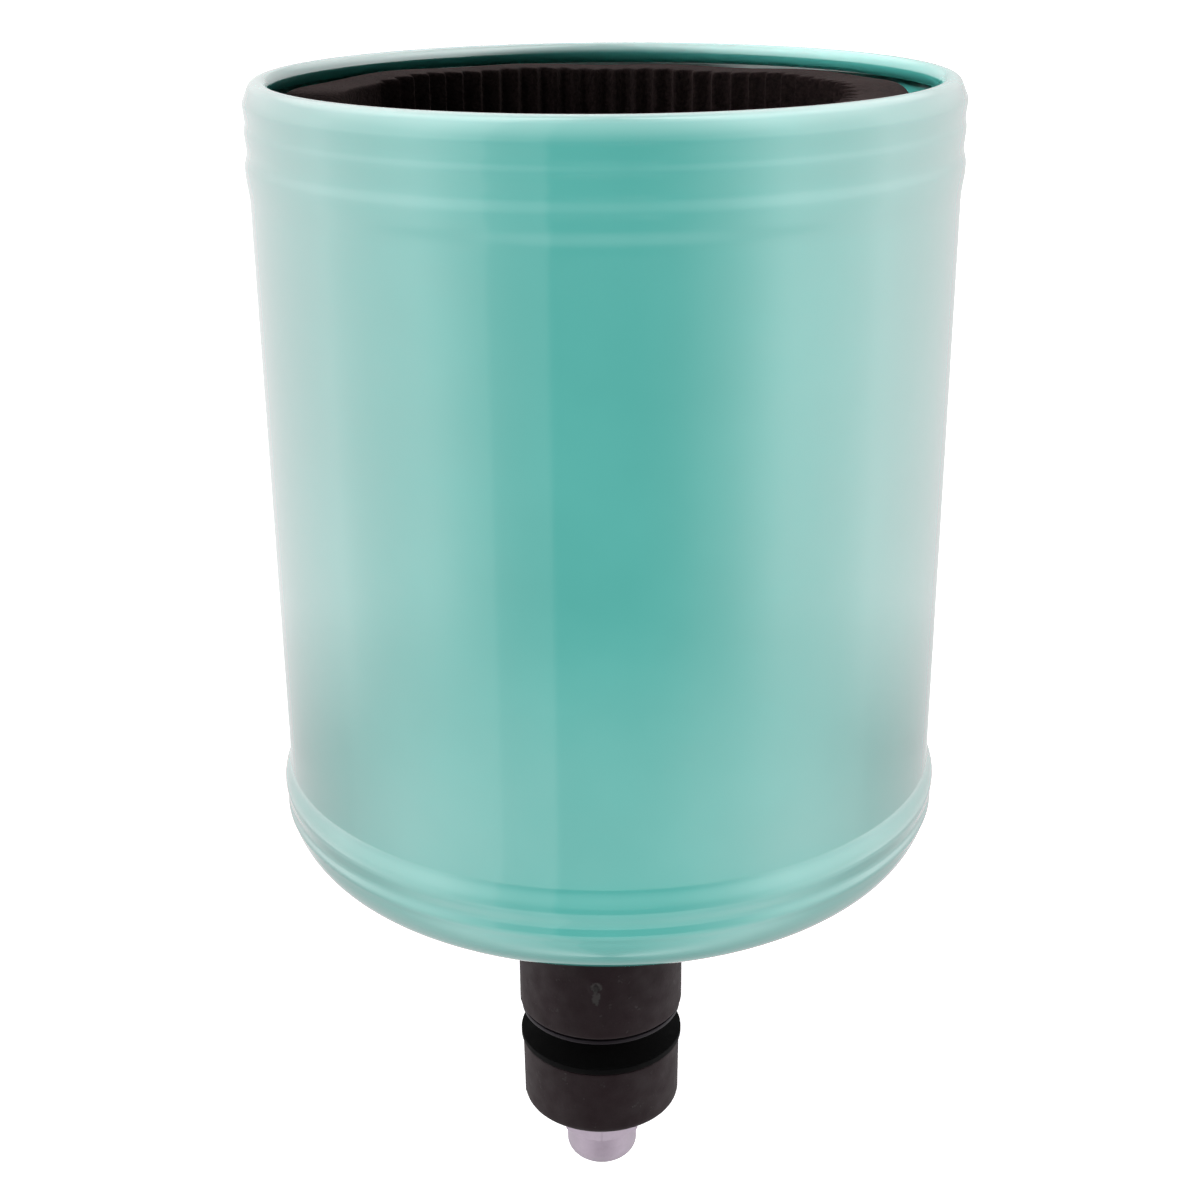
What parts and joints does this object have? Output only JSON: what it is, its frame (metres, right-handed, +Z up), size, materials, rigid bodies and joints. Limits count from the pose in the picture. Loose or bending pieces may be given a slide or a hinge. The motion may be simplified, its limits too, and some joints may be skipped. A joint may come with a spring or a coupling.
{
  "type": "handlebar drink holder",
  "caption": "Round beaded steel cup with a ribbed foam liner, on a rubber bush clamp stem with a gap for a bracket plate and a dome nut underneath.",
  "frame": {"origin": "on the bolt's axis, on the underside of the upper clamp washer, where the bracket plate is gripped; the cup's own axis is 1.4 mm towards +X", "axes": "+Z up along the bolt, from the clamp to the cup's open end; -X towards the joint in the foam sleeve; the pictured view looks along +Y"},
  "size_m": [0.0916, 0.0916, 0.1639],
  "materials": {
    "cup_paint": "glossy turquoise enamel",
    "foam": "matte black closed-cell foam",
    "rubber": "matte charcoal",
    "zinc": "satin zinc plate",
    "black_steel": "black oxide"
  },
  "bodies": {
    "holder": {"cup_shell": "cup_paint", "floor_pad": "foam", "clamp_bolt": "zinc", "head_washer": "zinc", "floor_seal": "rubber", "support_washer": "zinc", "upper_block": "rubber", "upper_sleeve": "zinc", "upper_clamp_washer": "zinc"},
    "liner": {"foam_liner": "foam"},
    "lower_clamp": {"lower_clamp_washer": "black_steel", "lower_block": "rubber", "lower_sleeve": "zinc", "flat_washer": "zinc", "lock_washer": "zinc"},
    "nut": {"dome_nut": "zinc"}
  },
  "joints": [
    {"name": "liner_lift", "type": "slide", "parent": "holder", "child": "liner", "axis": [0, 0, 1], "range_m": [0, 0.11]},
    {"name": "clamp_travel", "type": "slide", "parent": "holder", "child": "lower_clamp", "axis": [0, 0, 1], "range_m": [0, 0.0038]},
    {"name": "nut_turn", "type": "hinge", "parent": "lower_clamp", "child": "nut", "pos_m": [0, 0, -0.0188], "axis": [0, 0, 1], "range_deg": [0, 1368]}
  ],
  "couplings": [
    {"joint": "nut_turn", "follows": "clamp_travel", "rad_per_m": 6283.2}
  ]
}
